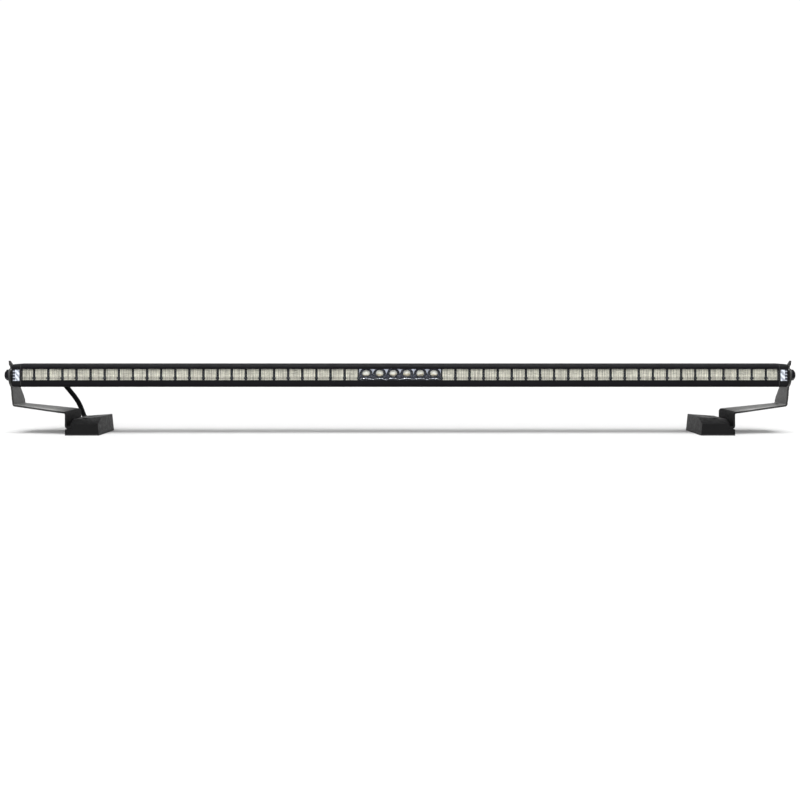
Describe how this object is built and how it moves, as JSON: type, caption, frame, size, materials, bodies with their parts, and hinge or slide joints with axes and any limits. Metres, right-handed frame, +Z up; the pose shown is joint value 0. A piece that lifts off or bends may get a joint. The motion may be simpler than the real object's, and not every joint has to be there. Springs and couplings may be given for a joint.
{
  "type": "led light bar",
  "caption": "Slim single-row LED light bar with spot and flood optics, held by two tilting end brackets on screw-down feet.",
  "frame": {"origin": "on the mounting surface, midway along the bar and across the feet", "axes": "+X along the bar, towards the right end as seen from the lit side; -Y towards the lit side; +Z up"},
  "size_m": [1.3358, 0.248, 0.1257],
  "materials": {
    "housing_black": "satin",
    "cap_black": "satin",
    "badge_silver": "polished",
    "gasket_rubber": "matte",
    "lens_clear": "clear, glossy",
    "flood_optic": "fluted, glossy",
    "reflector": "vacuum-metallised",
    "board_white": "white solder mask",
    "led_phosphor": "satin",
    "steel_zinc": "zinc plated",
    "steel_black": "black oxide",
    "copper": "tinned copper",
    "thermal_grey": "matte",
    "board_green": "solder mask",
    "component_dark": "moulded",
    "component_blue": "sleeved can",
    "lead_red": "insulation",
    "gland_plastic": "moulded nylon",
    "membrane": "matte",
    "cable_jacket": "satin",
    "connector_plastic": "moulded",
    "seal_orange": "satin",
    "lock_orange": "moulded",
    "bracket_black": "powder coated",
    "foot_plastic": "moulded",
    "pad_rubber": "matte"
  },
  "bodies": {
    "light_bar": {"housing": "housing_black", "left_end_cap": "cap_black", "right_end_cap": "cap_black", "left_end_gasket": "gasket_rubber", "right_end_gasket": "gasket_rubber", "end_screws": "steel_black", "left_end_badge": "badge_silver", "right_end_badge": "badge_silver", "front_lens": "lens_clear", "lens_seal": "gasket_rubber", "left_flood_lens": "flood_optic", "right_flood_lens": "flood_optic", "left_flood_reflector": "reflector", "right_flood_reflector": "reflector", "spot_reflector": "reflector", "left_led_board": "board_white", "spot_led_board": "board_white", "right_led_board": "board_white", "left_leds": "led_phosphor", "spot_leds": "led_phosphor", "right_leds": "led_phosphor", "board_screws": "steel_zinc", "board_jumpers": "copper", "thermal_pad": "thermal_grey", "driver_board": "board_green", "driver_inductors": "component_dark", "driver_capacitors": "component_blue", "driver_chips": "component_dark", "supply_leads": "lead_red", "led_leads": "lead_red", "gland_body": "gland_plastic", "gland_seal": "gasket_rubber", "gland_nut": "gland_plastic", "vent_body": "gland_plastic", "vent_membrane": "membrane", "power_cable": "cable_jacket", "connector_housing": "connector_plastic", "connector_seal": "seal_orange", "connector_contacts": "copper", "connector_lock": "lock_orange", "pivot_bolts": "steel_black", "pivot_lock_washers": "steel_zinc", "pivot_washers": "steel_zinc", "pivot_isolators": "gasket_rubber", "lock_screws": "steel_black", "lock_washers": "steel_zinc"},
    "left_mount": {"left_bracket": "bracket_black", "left_foot_block": "foot_plastic", "left_foot_pad": "pad_rubber", "left_foot_screws": "steel_zinc"},
    "right_mount": {"right_bracket": "bracket_black", "right_foot_block": "foot_plastic", "right_foot_pad": "pad_rubber", "right_foot_screws": "steel_zinc"}
  },
  "joints": [
    {"name": "left_tilt", "type": "hinge", "parent": "light_bar", "child": "left_mount", "pos_m": [-0.6545, -0.025, 0.1005], "axis": [1, 0, 0], "range_deg": [-20, 20]},
    {"name": "right_tilt", "type": "hinge", "parent": "light_bar", "child": "right_mount", "pos_m": [0.6545, -0.025, 0.1005], "axis": [1, 0, 0], "range_deg": [-20, 20]}
  ],
  "couplings": [
    {"joint": "right_tilt", "follows": "left_tilt", "ratio": 1}
  ]
}
